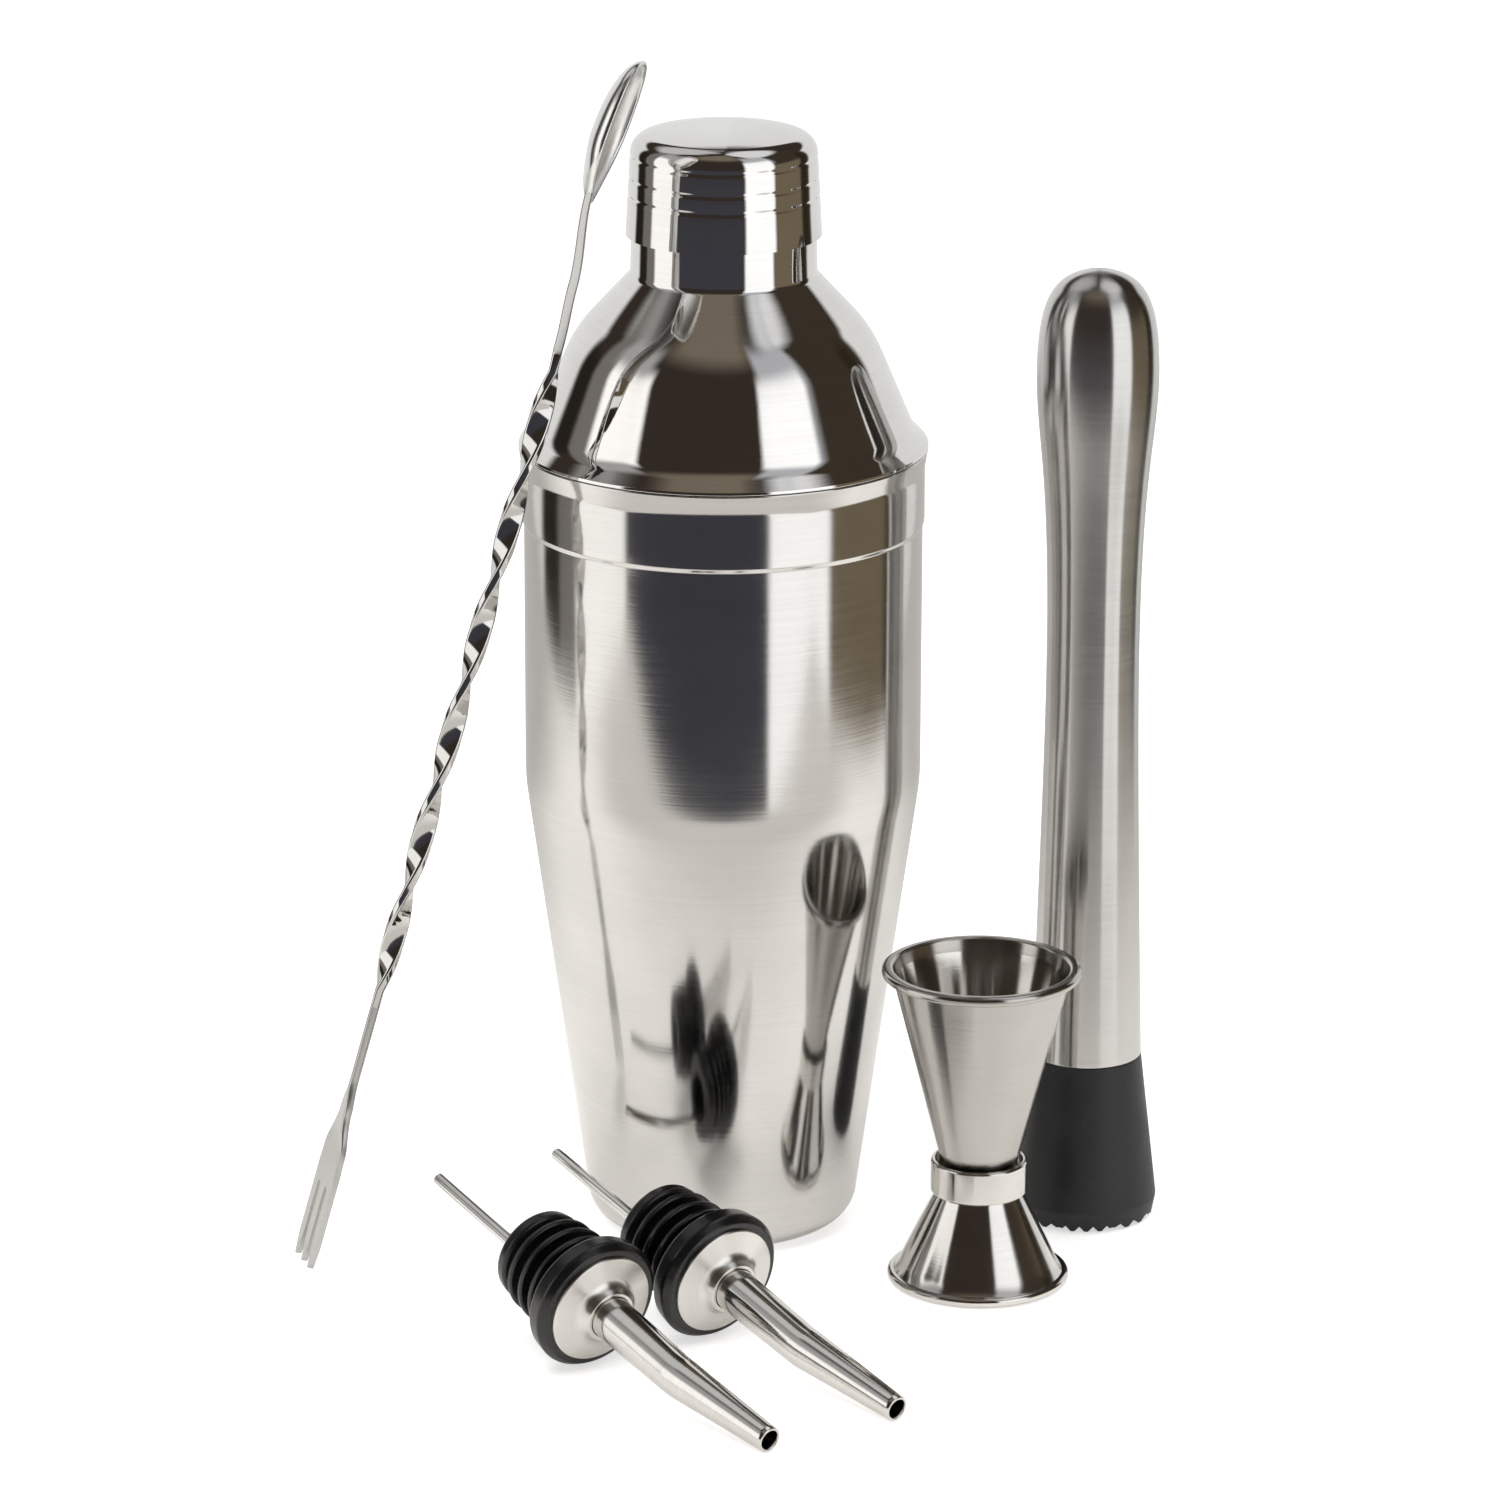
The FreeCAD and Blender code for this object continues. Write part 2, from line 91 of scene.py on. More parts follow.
# What the steel sees around it: (from, to, edge) in azimuth and elevation, in degrees, and a colour.
# Azimuth 0 is towards the camera and +90 is to the right. Later cards lie over earlier ones.
ROOM_COLOUR = (0.040, 0.030, 0.024)
CARDS = [
    ("haze over the front", (-62, 30, 30), (52, 90, 20), (0.20, 0.165, 0.125)),
    ("dark right wall", (60, 128, 6), (-90, 70, 20), (0.050, 0.038, 0.027)),
    ("brown right wall", (64, 108, 10), (-90, 10, 12), (0.185, 0.145, 0.095)),
    ("backdrop left", (-190, -126, 9), (-90, 28, 5), (0.86, 0.86, 0.85)),
    ("backdrop right", (125, 190, 7), (-90, 27, 5), (0.84, 0.84, 0.83)),
    ("above the backdrop left", (-190, -112, 12), (44, 58, 10), (0.24, 0.23, 0.22)),
    ("ceiling light right", (50, 172, 20), (56, 86, 8), (0.85, 0.85, 0.86)),
    ("ceiling light left", (-172, -98, 16), (42, 76, 12), (0.62, 0.62, 0.61)),
    ("left softbox spill", (-110, -92, 7), (-90, 50, 16), (0.20, 0.185, 0.17)),
    ("left softbox", (-94, -57, 5), (-90, 35, 16), (1.27, 1.25, 1.22)),
    ("left softbox top", (-98, -64, 10), (30, 52, 16), (0.42, 0.42, 0.42)),
    ("right softbox top", (29, 68, 8), (20, 62, 20), (0.52, 0.53, 0.56)),
    ("right softbox", (26, 64, 5), (-90, 36, 18), (1.32, 1.32, 1.32)),
    ("gap left of the backdrop", (-125, -110, 7), (-90, 22, 12), (0.022, 0.018, 0.014)),
    ("gap right of the backdrop", (107, 119, 8), (-90, 30, 12), (0.030, 0.024, 0.015)),
    ("cool floor in front", (-56, 25, 6), (-40, -4, 8), (0.052, 0.052, 0.064)),
]


def number(tree, operation, a, b=0.0, clamp=False):
    """A math node's output; a and b are sockets or numbers."""
    node = tree.nodes.new("ShaderNodeMath")
    node.operation = operation
    node.use_clamp = clamp
    for socket, value in zip(node.inputs, (a, b)):
        if isinstance(value, bpy.types.NodeSocket):
            tree.links.new(value, socket)
        else:
            socket.default_value = value
    return node.outputs[0]


def remap(tree, value, span, result=(0.0, 1.0), smooth=True):
    """value moved from span to result, with an eased or a straight ramp."""
    node = tree.nodes.new("ShaderNodeMapRange")
    node.interpolation_type = "SMOOTHSTEP" if smooth else "LINEAR"
    tree.links.new(value, node.inputs["Value"])
    for name, setting in zip(("From Min", "From Max", "To Min", "To Max"), (*span, *result)):
        node.inputs[name].default_value = setting
    return node.outputs["Result"]


def inside(tree, value, low, high, edge):
    """1 between low and high, fading to 0 over edge."""
    rise = remap(tree, value, (low - edge / 2, low + edge / 2))
    fall = remap(tree, value, (high - edge / 2, high + edge / 2), (1.0, 0.0))
    return number(tree, "MULTIPLY", rise, fall)


def blended(tree, factor, first, second):
    """Colour mix; first and second are sockets or colours."""
    node = tree.nodes.new("ShaderNodeMix")
    node.data_type = "RGBA"
    tree.links.new(factor, node.inputs["Factor"])
    for name, value in (("A_Color", first), ("B_Color", second)):
        socket = next(s for s in node.inputs if s.identifier == name)
        if isinstance(value, bpy.types.NodeSocket):
            tree.links.new(value, socket)
        else:
            socket.default_value = (*value, 1.0)
    return next(s for s in node.outputs if s.identifier == "Result_Color")


def make_world():
    """White for the camera, and the room with its cards for everything that mirrors it."""
    world = bpy.data.worlds.new("studio")
    scene.world = world
    world.use_nodes = True
    tree = world.node_tree
    tree.nodes.clear()
    direction = tree.nodes.new("ShaderNodeTexCoord").outputs["Generated"]
    parts = tree.nodes.new("ShaderNodeSeparateXYZ")
    tree.links.new(direction, parts.inputs[0])
    backwards = number(tree, "MULTIPLY", parts.outputs["Y"], -1.0)
    azimuth = number(tree, "ARCTAN2", parts.outputs["X"], backwards)
    azimuth = number(tree, "MULTIPLY", azimuth, DEGREES)
    elevation = number(tree, "ARCSINE", parts.outputs["Z"])
    elevation = number(tree, "MULTIPLY", elevation, DEGREES)
    colour = ROOM_COLOUR
    for _, across, upward, shade in CARDS:
        around = inside(tree, azimuth, *across)
        mask = number(tree, "MULTIPLY", around, inside(tree, elevation, *upward))
        colour = blended(tree, mask, colour, shade)
    room = tree.nodes.new("ShaderNodeBackground")
    tree.links.new(colour, room.inputs["Color"])
    white = tree.nodes.new("ShaderNodeBackground")
    white.inputs["Color"].default_value = (1.0, 1.0, 1.0, 1.0)
    choose = tree.nodes.new("ShaderNodeMixShader")
    rays = tree.nodes.new("ShaderNodeLightPath")
    tree.links.new(rays.outputs["Is Camera Ray"], choose.inputs["Fac"])
    tree.links.new(room.outputs[0], choose.inputs[1])
    tree.links.new(white.outputs[0], choose.inputs[2])
    output = tree.nodes.new("ShaderNodeOutputWorld")
    tree.links.new(choose.outputs[0], output.inputs["Surface"])


def make_sheet(name, x, y, z, white, glow):
    """A flat white stage sheet; glow is how much of its white is its own."""
    mesh = bpy.data.meshes.new(name)
    corners = [(x[0], y[0], z), (x[1], y[0], z), (x[1], y[1], z), (x[0], y[1], z)]
    mesh.from_pydata(corners, [], [(0, 1, 2, 3)])
    sheet = bpy.data.objects.new(name, mesh)
    scene.collection.objects.link(sheet)
    material, _, shader = new_material(name)
    shader.inputs["Base Color"].default_value = (*white, 1.0)
    shader.inputs["Roughness"].default_value = SHEET_ROUGHNESS
    shader.inputs["Specular IOR Level"].default_value = SHEET_SHINE
    shader.inputs["Emission Color"].default_value = (1.0, 1.0, 1.0, 1.0)
    shader.inputs["Emission Strength"].default_value = glow
    mesh.materials.append(material)
    return sheet


def make_table():
    """The sheet that the steel mirrors: white near the set, with painted shade that dims it in front and
    behind, soft-edged.
    """
    table = make_sheet("table", TABLE_X, TABLE_Y, TABLE_Z, TABLE_WHITE, TABLE_GLOW)
    tree = table.data.materials[0].node_tree
    shader = tree.nodes["Principled BSDF"]
    parts = tree.nodes.new("ShaderNodeSeparateXYZ")
    tree.links.new(tree.nodes.new("ShaderNodeTexCoord").outputs["Object"], parts.inputs[0])
    # painted shade: the colour, and the glow that follows it, darken towards the camera and behind the set
    colour = blended(tree, remap(tree, parts.outputs["Y"], TABLE_FRONT_SHADE_SPAN), TABLE_FRONT_PAINTED_SHADE, TABLE_WHITE)
    colour = blended(tree, remap(tree, parts.outputs["Y"], TABLE_BACK_SHADE_SPAN), colour, TABLE_BACK_PAINTED_SHADE)
    tree.links.new(colour, shader.inputs["Base Color"])
    tree.links.new(colour, shader.inputs["Emission Color"])
    half = TABLE_EDGE / 2
    across = inside(tree, parts.outputs["X"], TABLE_X[0] + half, TABLE_X[1] - half, TABLE_EDGE)
    deep = inside(tree, parts.outputs["Y"], TABLE_Y[0] + half, TABLE_Y[1] - half, TABLE_EDGE)
    tree.links.new(number(tree, "MULTIPLY", across, deep), shader.inputs["Alpha"])
    table.visible_camera = False


def make_floor():
    """The white ground the camera sees; the steel does not mirror it."""
    floor = make_sheet("floor", FLOOR_REACH, FLOOR_REACH, FLOOR_Z, FLOOR_WHITE, FLOOR_GLOW)
    floor.visible_glossy = False
    floor.visible_diffuse = False
    floor.visible_shadow = False


def make_light(name, at, size, power):
    """A soft light from above that the steel does not mirror."""
    data = bpy.data.lights.new(name, "AREA")
    data.shape = "DISK"
    data.size = size
    data.energy = power
    light = bpy.data.objects.new(name, data)
    light.location = at
    light.rotation_euler = (-Vector(at)).to_track_quat("-Z", "Y").to_euler()
    light.visible_glossy = False
    light.visible_camera = False
    scene.collection.objects.link(light)


def make_camera():
    camera = bpy.data.objects.new("camera", bpy.data.cameras.new("camera"))
    camera.data.lens = CAMERA_LENS
    camera.data.sensor_width = CAMERA_SENSOR
    camera.data.clip_start = CAMERA_NEAR
    camera.location = CAMERA_AT
    turn = Matrix.Rotation(math.radians(90 - CAMERA_PITCH), 3, "X")
    turn = turn @ Matrix.Rotation(math.radians(CAMERA_ROLL), 3, "Z")
    camera.rotation_euler = turn.to_euler()
    scene.collection.objects.link(camera)
    scene.camera = camera


def make_studio():
    make_world()
    make_table()
    make_floor()
    for light in LIGHTS:
        make_light(*light)
    make_camera()
    scene.view_settings.view_transform = "Standard"


# ---- materials ---------------------------------------------------------------------------------
UPRIGHT_HIGHLIGHT = 0.25             # a quarter turn: brushed steel spreads its highlights along Z
DRAWN_LINES = (260.0, 260.0, 12.0)   # noise along a drawn piece: many lines across, few along
DRAWN_FINE, DRAWN_BROAD = 1.0, 0.35
TURNED_FINE, TURNED_BROAD = 9000.0, 1600.0
TURNED_ANGLE = 0.0003                # how little the turning lines change around the piece
SCRATCHES = (900.0, 900.0, 160.0)
SCRATCH_DEPTH = 0.0002
FINE_DEPTH, BROAD_DEPTH = 0.00005, 0.0002
CLOUD_SCALE, CLOUD_SHARE = 55.0, 0.6
DARKER, LIGHTER = 0.955, 1.03
DUST_SCALE, DUST_DEPTH, PORE_DEPTH = 90.0, 0.0006, 0.00012
DUST_DARKER, DUST_LIGHTER = 0.75, 1.5


def new_material(name):
    """A material, its node tree and its shader."""
    material = bpy.data.materials.new(name)
    material.use_nodes = True
    return material, material.node_tree, material.node_tree.nodes["Principled BSDF"]


def noise(tree, vector, scale, detail=3.0, roughness=0.55):
    """The factor of a noise texture."""
    node = tree.nodes.new("ShaderNodeTexNoise")
    node.inputs["Scale"].default_value = scale
    node.inputs["Detail"].default_value = detail
    node.inputs["Roughness"].default_value = roughness
    tree.links.new(vector, node.inputs["Vector"])
    return node.outputs["Fac"]


def stretched(tree, vector, factors):
    """The vector with each axis multiplied by its factor."""
    node = tree.nodes.new("ShaderNodeMapping")
    node.inputs["Scale"].default_value = factors
    tree.links.new(vector, node.inputs["Vector"])
    return node.outputs["Vector"]


def ring_coordinate(tree, vector):
    """A vector that hardly changes around Z: (radius, height, a little of the angle)."""
    parts = tree.nodes.new("ShaderNodeSeparateXYZ")
    tree.links.new(vector, parts.inputs[0])
    x, y, z = parts.outputs
    squares = [number(tree, "MULTIPLY", side, side) for side in (x, y)]
    radius = number(tree, "SQRT", number(tree, "ADD", *squares))
    angle = number(tree, "ARCTAN2", y, x)
    joined = tree.nodes.new("ShaderNodeCombineXYZ")
    tree.links.new(radius, joined.inputs["X"])
    tree.links.new(z, joined.inputs["Y"])
    tree.links.new(number(tree, "MULTIPLY", angle, TURNED_ANGLE), joined.inputs["Z"])
    return joined.outputs[0]


def bumped(tree, shader, layers):
    """Chains (height socket, strength, distance) bump layers onto the shader."""
    normal = None
    for height, strength, distance in layers:
        node = tree.nodes.new("ShaderNodeBump")
        node.inputs["Strength"].default_value = strength
        node.inputs["Distance"].default_value = distance
        tree.links.new(height, node.inputs["Height"])
        if normal:
            tree.links.new(normal, node.inputs["Normal"])
        normal = node.outputs[0]
    tree.links.new(normal, shader.inputs["Normal"])


def steel(name, tint, rough, brush=0.0, ring=0.0, smudge=0.02, along=False):
    """Stainless steel: brush is the anisotropy, ring the strength of the turning lines, smudge how much the
    roughness varies, and along is true for a drawn piece whose lines run along Z."""
    material, tree, shader = new_material(name)
    where = tree.nodes.new("ShaderNodeTexCoord").outputs["Object"]
    shader.inputs["Metallic"].default_value = 1.0
    shader.inputs["Anisotropic"].default_value = brush
    if brush:
        tangent = tree.nodes.new("ShaderNodeTangent")
        tangent.direction_type = "RADIAL"
        tangent.axis = "Z"
        tree.links.new(tangent.outputs[0], shader.inputs["Tangent"])
        shader.inputs["Anisotropic Rotation"].default_value = UPRIGHT_HIGHLIGHT
    lines = stretched(tree, where, DRAWN_LINES) if along else ring_coordinate(tree, where)
    fine = noise(tree, lines, DRAWN_FINE if along else TURNED_FINE, 2.0)
    broad = noise(tree, lines, DRAWN_BROAD if along else TURNED_BROAD, 3.0)
    cloud = number(tree, "MULTIPLY", noise(tree, where, CLOUD_SCALE, 4.0), CLOUD_SHARE)
    patchy = number(tree, "ADD", cloud, number(tree, "MULTIPLY", broad, 1 - CLOUD_SHARE))
    smoothest = max(rough - smudge, 0.01)
    spread = remap(tree, patchy, (0.3, 0.7), (smoothest, rough + smudge), smooth=False)
    tree.links.new(spread, shader.inputs["Roughness"])
    light = tuple(min(c * LIGHTER, 1.0) for c in tint)
    dark = tuple(c * DARKER for c in tint)
    colour = blended(tree, remap(tree, patchy, (0.35, 0.65)), dark, light)
    tree.links.new(colour, shader.inputs["Base Color"])
    scratches = noise(tree, stretched(tree, where, SCRATCHES), 1.0, 2.0)
    layers = [(scratches, 0.012, SCRATCH_DEPTH)]
    if ring:
        layers += [(fine, ring, FINE_DEPTH), (broad, ring * 0.6, BROAD_DEPTH)]
    bumped(tree, shader, layers)
    return material


def moulded(name, shade, rough, grain, grain_scale=2600.0, specular=0.5):
    """Black rubber or nylon with a fine moulded grain and a dusty unevenness."""
    material, tree, shader = new_material(name)
    where = tree.nodes.new("ShaderNodeTexCoord").outputs["Object"]
    dust = noise(tree, where, DUST_SCALE, 5.0)
    pores = noise(tree, where, grain_scale, 2.0)
    dark = tuple(c * DUST_DARKER for c in shade)
    light = tuple(c * DUST_LIGHTER for c in shade)
    colour = blended(tree, remap(tree, dust, (0.35, 0.75)), dark, light)
    tree.links.new(colour, shader.inputs["Base Color"])
    spread = remap(tree, dust, (0.3, 0.7), (rough - 0.06, rough + 0.08), smooth=False)
    tree.links.new(spread, shader.inputs["Roughness"])
    shader.inputs["Specular IOR Level"].default_value = specular
    bumped(tree, shader, [(pores, grain, PORE_DEPTH), (dust, 0.12, DUST_DEPTH)])
    return material


# ---- shapes ------------------------------------------------------------------------------------
ARC_STEP = math.radians(3.0)
LONGEST_EDGE = 3.0
POLE_R = 1e-6                    # a ring smaller than this is one point
END_ROUNDING = 0.25              # the soft end of a cut sheet


def rounded(corners, closed=False):
    """Points along a path through (radius, height, rounding) corners, close together on the arcs."""
    points = [Vector(corner[:2]) for corner in corners]
    path = []
    for i, at in enumerate(points):
        size = corners[i][2] if len(corners[i]) == 3 else 0
        at_end = not closed and i in (0, len(points) - 1)
        if not size or at_end:
            path.append(at)
            continue
        into = (at - points[i - 1]).normalized()
        onward = (points[(i + 1) % len(points)] - at).normalized()
        turn = math.atan2(into.x * onward.y - into.y * onward.x, into.dot(onward))
        start = at - into * (size * math.tan(abs(turn) / 2))
        centre = start + Vector((-into.y, into.x)) * math.copysign(size, turn)
        count = max(math.ceil(abs(turn) / ARC_STEP), 3)
        for k in range(count + 1):
            path.append(centre + Matrix.Rotation(turn * k / count, 2) @ (start - centre))
    dense = []
    pairs = zip(path, path[1:] + path[:1]) if closed else zip(path, path[1:])
    for a, b in pairs:
        pieces = max(math.ceil((b - a).length / LONGEST_EDGE), 1)
        dense += [a.lerp(b, k / pieces) for k in range(pieces)]
    return dense if closed else dense + [path[-1]]


def sheet_section(path, wall):
    """Corners of a sheet's section: its outside from the foot up, thickened inwards, with a soft end."""
    points = [Vector(corner[:2]) for corner in path]
    normals = []
    for a, b in zip(points, points[1:]):
        along = (b - a).normalized()
        normals.append(Vector((-along.y, along.x)))
    within = []
    for i, at in enumerate(points):
        before = normals[max(i - 1, 0)]
        after = normals[min(i, len(normals) - 1)]
        shift = (before + after) * (wall / (1 + before.dot(after)))
        size = path[i][2] if len(path[i]) == 3 else 0
        if size:
            bends_inwards = before.x * after.y - before.y * after.x > 0
            size = max(size - wall, 0.05) if bends_inwards else size + wall
        within.append((max(at.x + shift.x, 0), at.y + shift.y, size))
    outside = list(path)
    for row in (outside, within):
        for end in (0, -1):
            if row[end][0] > 0:
                row[end] = (row[end][0], row[end][1], END_ROUNDING)
    return outside + within[::-1]


def mesh_object(name, vertices, faces, material):
    """A smooth-shaded piece from vertices in millimetres."""
    mesh = bpy.data.meshes.new(name)
    mesh.from_pydata([tuple(c * MM for c in v) for v in vertices], [], faces)
    shape = bmesh.new()
    shape.from_mesh(mesh)
    bmesh.ops.recalc_face_normals(shape, faces=shape.faces)
    shape.to_mesh(mesh)
    shape.free()
    mesh.shade_smooth()
    mesh.materials.append(material)
    piece = bpy.data.objects.new(name, mesh)
    scene.collection.objects.link(piece)
    return piece


def skinned(rings, closed=False):
    """Vertices and quads over rings of points; a ring of one point is a pole."""
    vertices, starts, faces = [], [], []
    for ring in rings:
        starts.append(len(vertices))
        vertices += ring
    pairs = list(zip(range(len(rings)), range(1, len(rings))))
    if closed:
        pairs.append((len(rings) - 1, 0))
    for a, b in pairs:
        count = max(len(rings[a]), len(rings[b]))
        for k in range(count):
            following = (k + 1) % count
            corners = []
            for ring, step in ((a, k), (a, following), (b, following), (b, k)):
                index = starts[ring] + (step if len(rings[ring]) > 1 else 0)
                if index not in corners:
                    corners.append(index)
            if len(corners) > 2:
                faces.append(corners)
    return vertices, faces


def lathe(name, path, material, closed=False, segments=192):
    """Turns a path about Z."""
    rings = []
    for point in path:
        radius, height = point
        if radius < POLE_R:
            rings.append([(0.0, 0.0, height)])
            continue
        turns = [2 * math.pi * k / segments for k in range(segments)]
        rings.append([(radius * math.cos(t), radius * math.sin(t), height) for t in turns])
    return mesh_object(name, *skinned(rings, closed), material)


def spline(points, start, end, count):
    """Smooth curve through points, with the given directions at its ends."""
    knots = np.array(points, float)
    steps = np.linalg.norm(np.diff(knots, axis=0), axis=1)
    size = len(knots)
    system, wanted = np.eye(size), np.zeros(knots.shape)
    wanted[0], wanted[-1] = start, end
    for i in range(1, size - 1):
        before, after = steps[i - 1], steps[i]
        system[i, i - 1 : i + 2] = after, 2 * (before + after), before
        rise_before = (knots[i] - knots[i - 1]) / before
        rise_after = (knots[i + 1] - knots[i]) / after
        wanted[i] = 3 * (after * rise_before + before * rise_after)
    slopes = np.linalg.solve(system, wanted)
    curve = []
    for i, step in enumerate(steps):
        pieces = max(int(round(count * step / steps.sum())), 2)
        for t in np.linspace(0, 1, pieces, endpoint=False):
            hold = (2 * t**3 - 3 * t**2 + 1) * knots[i] + (3 * t**2 - 2 * t**3) * knots[i + 1]
            pull = (t**3 - 2 * t**2 + t) * slopes[i] + (t**3 - t**2) * slopes[i + 1]
            curve.append(hold + pull * step)
    return curve + [knots[-1]]


def put(piece, body, slot, *nodes, place=None):
    """Places a finished piece, and lets it ride on its body and stand for its nodes; slot is not used."""
    if place is not None:
        piece.matrix_world = place if isinstance(place, Matrix) else Matrix.Translation(place)
    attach(piece, body)
    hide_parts(*nodes)


# ---- shaker ------------------------------------------------------------------------------------
# Corners are (radius, height, rounding). The tin's and the cap's outlines are their outside, from the foot
# up, and the strainer's goes up its outside and back down its inside.
SHEET = 0.6                      # wall of the tin and the cap
TIN = [
    (0, 1.4),
    (17.5, 1.4, 1.5),
    (19.5, 0, 1.2),
    (28.4, 0, 7.0),
    (42.4, 100.0, 45.0),
    (42.4, 156.6, 0.8),
    (42.8, 157.4, 0.8),
    (42.75, 169.0, 7.0),
    (43.5, 173.2),
]
STRAINER = [
    (41.95, 161.9, 0.2),
    (41.95, 173.4),
    (43.5, 173.4, 0.2),
    (43.4, 174.1, 0.2),
    (40.4, 177.2, 8.0),
    (31.6, 198.0, 30.0),
    (19.75, 210.8, 2.0),
    (19.2, 231.0, 0.2),
    (18.6, 231.0, 0.2),
    (19.15, 210.4, 2.6),
    (31.2, 197.4, 29.4),
    (39.9, 176.9, 8.6),
    (41.35, 175.2, 1.0),
    (41.35, 161.9, 0.2),
]
CAP_EDGE = (20.7, 219.0)
CAP_SHOULDER = (19.55, 240.0)
CAP_SHOULDER_ROUNDING = 4.2
CAP_CROWN = (12.0, 241.0, 40.0)  # the almost flat top
CAP_TOP = 241.2
CAP_GROOVES = (227.4, 231.1, 235.7)
GROOVE_DEPTH = 0.14
GROOVE_HALF_WIDTH = 0.65
GROOVE_ROUNDING = 1.2


def cap_path():
    """The cap's outside, with its three grooves."""
    taper = (CAP_SHOULDER[0] - CAP_EDGE[0]) / (CAP_SHOULDER[1] - CAP_EDGE[1])
    path = [CAP_EDGE]
    for z in CAP_GROOVES:
        for offset, depth in ((-GROOVE_HALF_WIDTH, 0), (0, GROOVE_DEPTH), (GROOVE_HALF_WIDTH, 0)):
            radius = CAP_EDGE[0] + taper * (z + offset - CAP_EDGE[1]) - depth
            path.append((radius, z + offset, GROOVE_ROUNDING))
    return path + [(*CAP_SHOULDER, CAP_SHOULDER_ROUNDING), CAP_CROWN, (0, CAP_TOP)]


def make_shaker():
    """The tin, the strainer top with its pierced plate, and the cap."""
    tin_steel = steel("tin_steel", (0.68, 0.67, 0.65), 0.105, brush=0.15, ring=0.03)
    lid_steel = steel("lid_steel", (0.76, 0.75, 0.735), 0.035, ring=0.02, smudge=0.012)
    plate_steel = steel("strainer_plate_steel", (0.62, 0.62, 0.61), 0.3, ring=0.1)
    tin = lathe("tin_shell", rounded(sheet_section(TIN, SHEET)), tin_steel, segments=288)
    put(tin, "tin", "tin_steel", "shaker_tin")
    top = lathe("strainer_shell", rounded(STRAINER, closed=True), lid_steel, closed=True, segments=288)
    put(top, "strainer", "lid_steel", "strainer_top")
    cap = lathe("cap_shell", rounded(sheet_section(cap_path(), SHEET)), lid_steel, segments=256)
    put(cap, "cap", "lid_steel", "shaker_cap")
    paint(frame["nodes"]["strainer_plate"], plate_steel)


def paint(node, material):
    """Gives a carried-over CAD node its finish."""
    node.data.materials.clear()
    node.data.materials.append(material)


# ---- double jigger -----------------------------------------------------------------------------
# Each cup's outline goes along its outside, round the rolled bead and back along its inside.
LARGE_CUP = [
    (0, 23.5),
    (7.4, 23.5, 1.2),
    (18.85, 67.85, 0.3),
    (21.1, 67.85, 1.0),
    (21.1, 70.0, 1.0),
    (18.75, 70.0, 0.8),
    (18.0, 67.2, 4.0),
    (6.95, 24.1, 0.8),
    (0, 24.1),
]
BEAD_BELOW = 67.5                # the rolled bead starts above this height
SMALL_CUP = [
    (0, 23.5),
    (9.3, 23.5, 0.6),
    (9.3, 19.4, 1.0),
    (17.5, 2.5, 12.0),
    (17.9, 2.1, 0.2),
    (19.4, 2.1, 1.0),
    (19.4, 0, 1.0),
    (17.2, 0, 0.8),
    (16.8, 2.6, 6.0),
    (8.7, 19.4, 1.0),
    (8.7, 22.9, 1.0),
    (0, 22.9),
]
WAIST_BAND = [(9.3, 19.8, 0.2), (10.3, 19.8, 0.4), (10.3, 27.0, 0.6), (9.3, 27.0, 0.3)]


def make_jigger():
    """Two cups joined foot to foot by a band; the upper one is brighter inside."""
    satin = steel("jigger_satin_steel", (0.515, 0.497, 0.469), 0.2, brush=0.8, ring=0.1)
    bright = steel("jigger_bright_steel", (0.70, 0.685, 0.66), 0.13, brush=0.75, ring=0.06)
    place = middle_of("jigger_large_cup")
    lining = steel("jigger_inside_steel", (0.74, 0.72, 0.685), 0.12, brush=0.8, ring=0.06)
    large = lathe("jigger_large", rounded(LARGE_CUP), satin)
    large.data.materials.append(lining)
    for face in large.data.polygons:
        faces_inwards = face.center.xy.dot(face.normal.xy) < 0
        if faces_inwards and face.center.z < BEAD_BELOW * MM:
            face.material_index = 1
    small = lathe("jigger_small", rounded(SMALL_CUP), bright)
    band = lathe("jigger_waist", rounded(WAIST_BAND, closed=True), bright, closed=True)
    put(large, "jigger", "jigger_satin_steel", "jigger_large_cup", place=place)
    put(small, "jigger", "jigger_bright_steel", "jigger_small_cup", place=place)
    put(band, "jigger", "jigger_bright_steel", "jigger_band", place=place)


# ---- muddler -----------------------------------------------------------------------------------
HANDLE = [(0, 211.0), (7.8, 208.6), (12.7, 196.0), (11.5, 169.0), (9.95, 133.0), (10.4, 95.0), (12.0, 36.5)]
HANDLE_ENDS = (1, 0), (0.03, -1)   # level over the top, and almost straight down at the foot
HANDLE_STEPS = 140
HANDLE_WALL = 0.8
HANDLE_FOOT = 0.6                # the straight stretch down to the cut end
HANDLE_TURNED_IN = 1.0           # how far the cut end goes back up inside


def make_muddler():
    """A drawn steel handle over the CAD's own toothed head."""
    satin = steel("muddler_steel", (0.61, 0.60, 0.585), 0.21, brush=0.9, ring=0.012)
    nylon = moulded("muddler_nylon", (0.013, 0.013, 0.016), 0.46, 0.3, 1500.0)
    place = middle_of("muddler_head")
    outside = spline(HANDLE, *HANDLE_ENDS, HANDLE_STEPS)
    foot_r, foot_z = HANDLE[-1]
    inner_r = foot_r - HANDLE_WALL
    path = [Vector(p) for p in outside[:-1]]
    path += rounded([
        (foot_r, foot_z + HANDLE_FOOT),
        (foot_r, foot_z, END_ROUNDING),
        (inner_r, foot_z, END_ROUNDING),
        (inner_r, foot_z + HANDLE_TURNED_IN),
    ])
    handle = lathe("muddler_tube", path, satin, segments=160)
    put(handle, "muddler", "muddler_steel", "muddler_handle", place=place)
    paint(frame["nodes"]["muddler_head"], nylon)


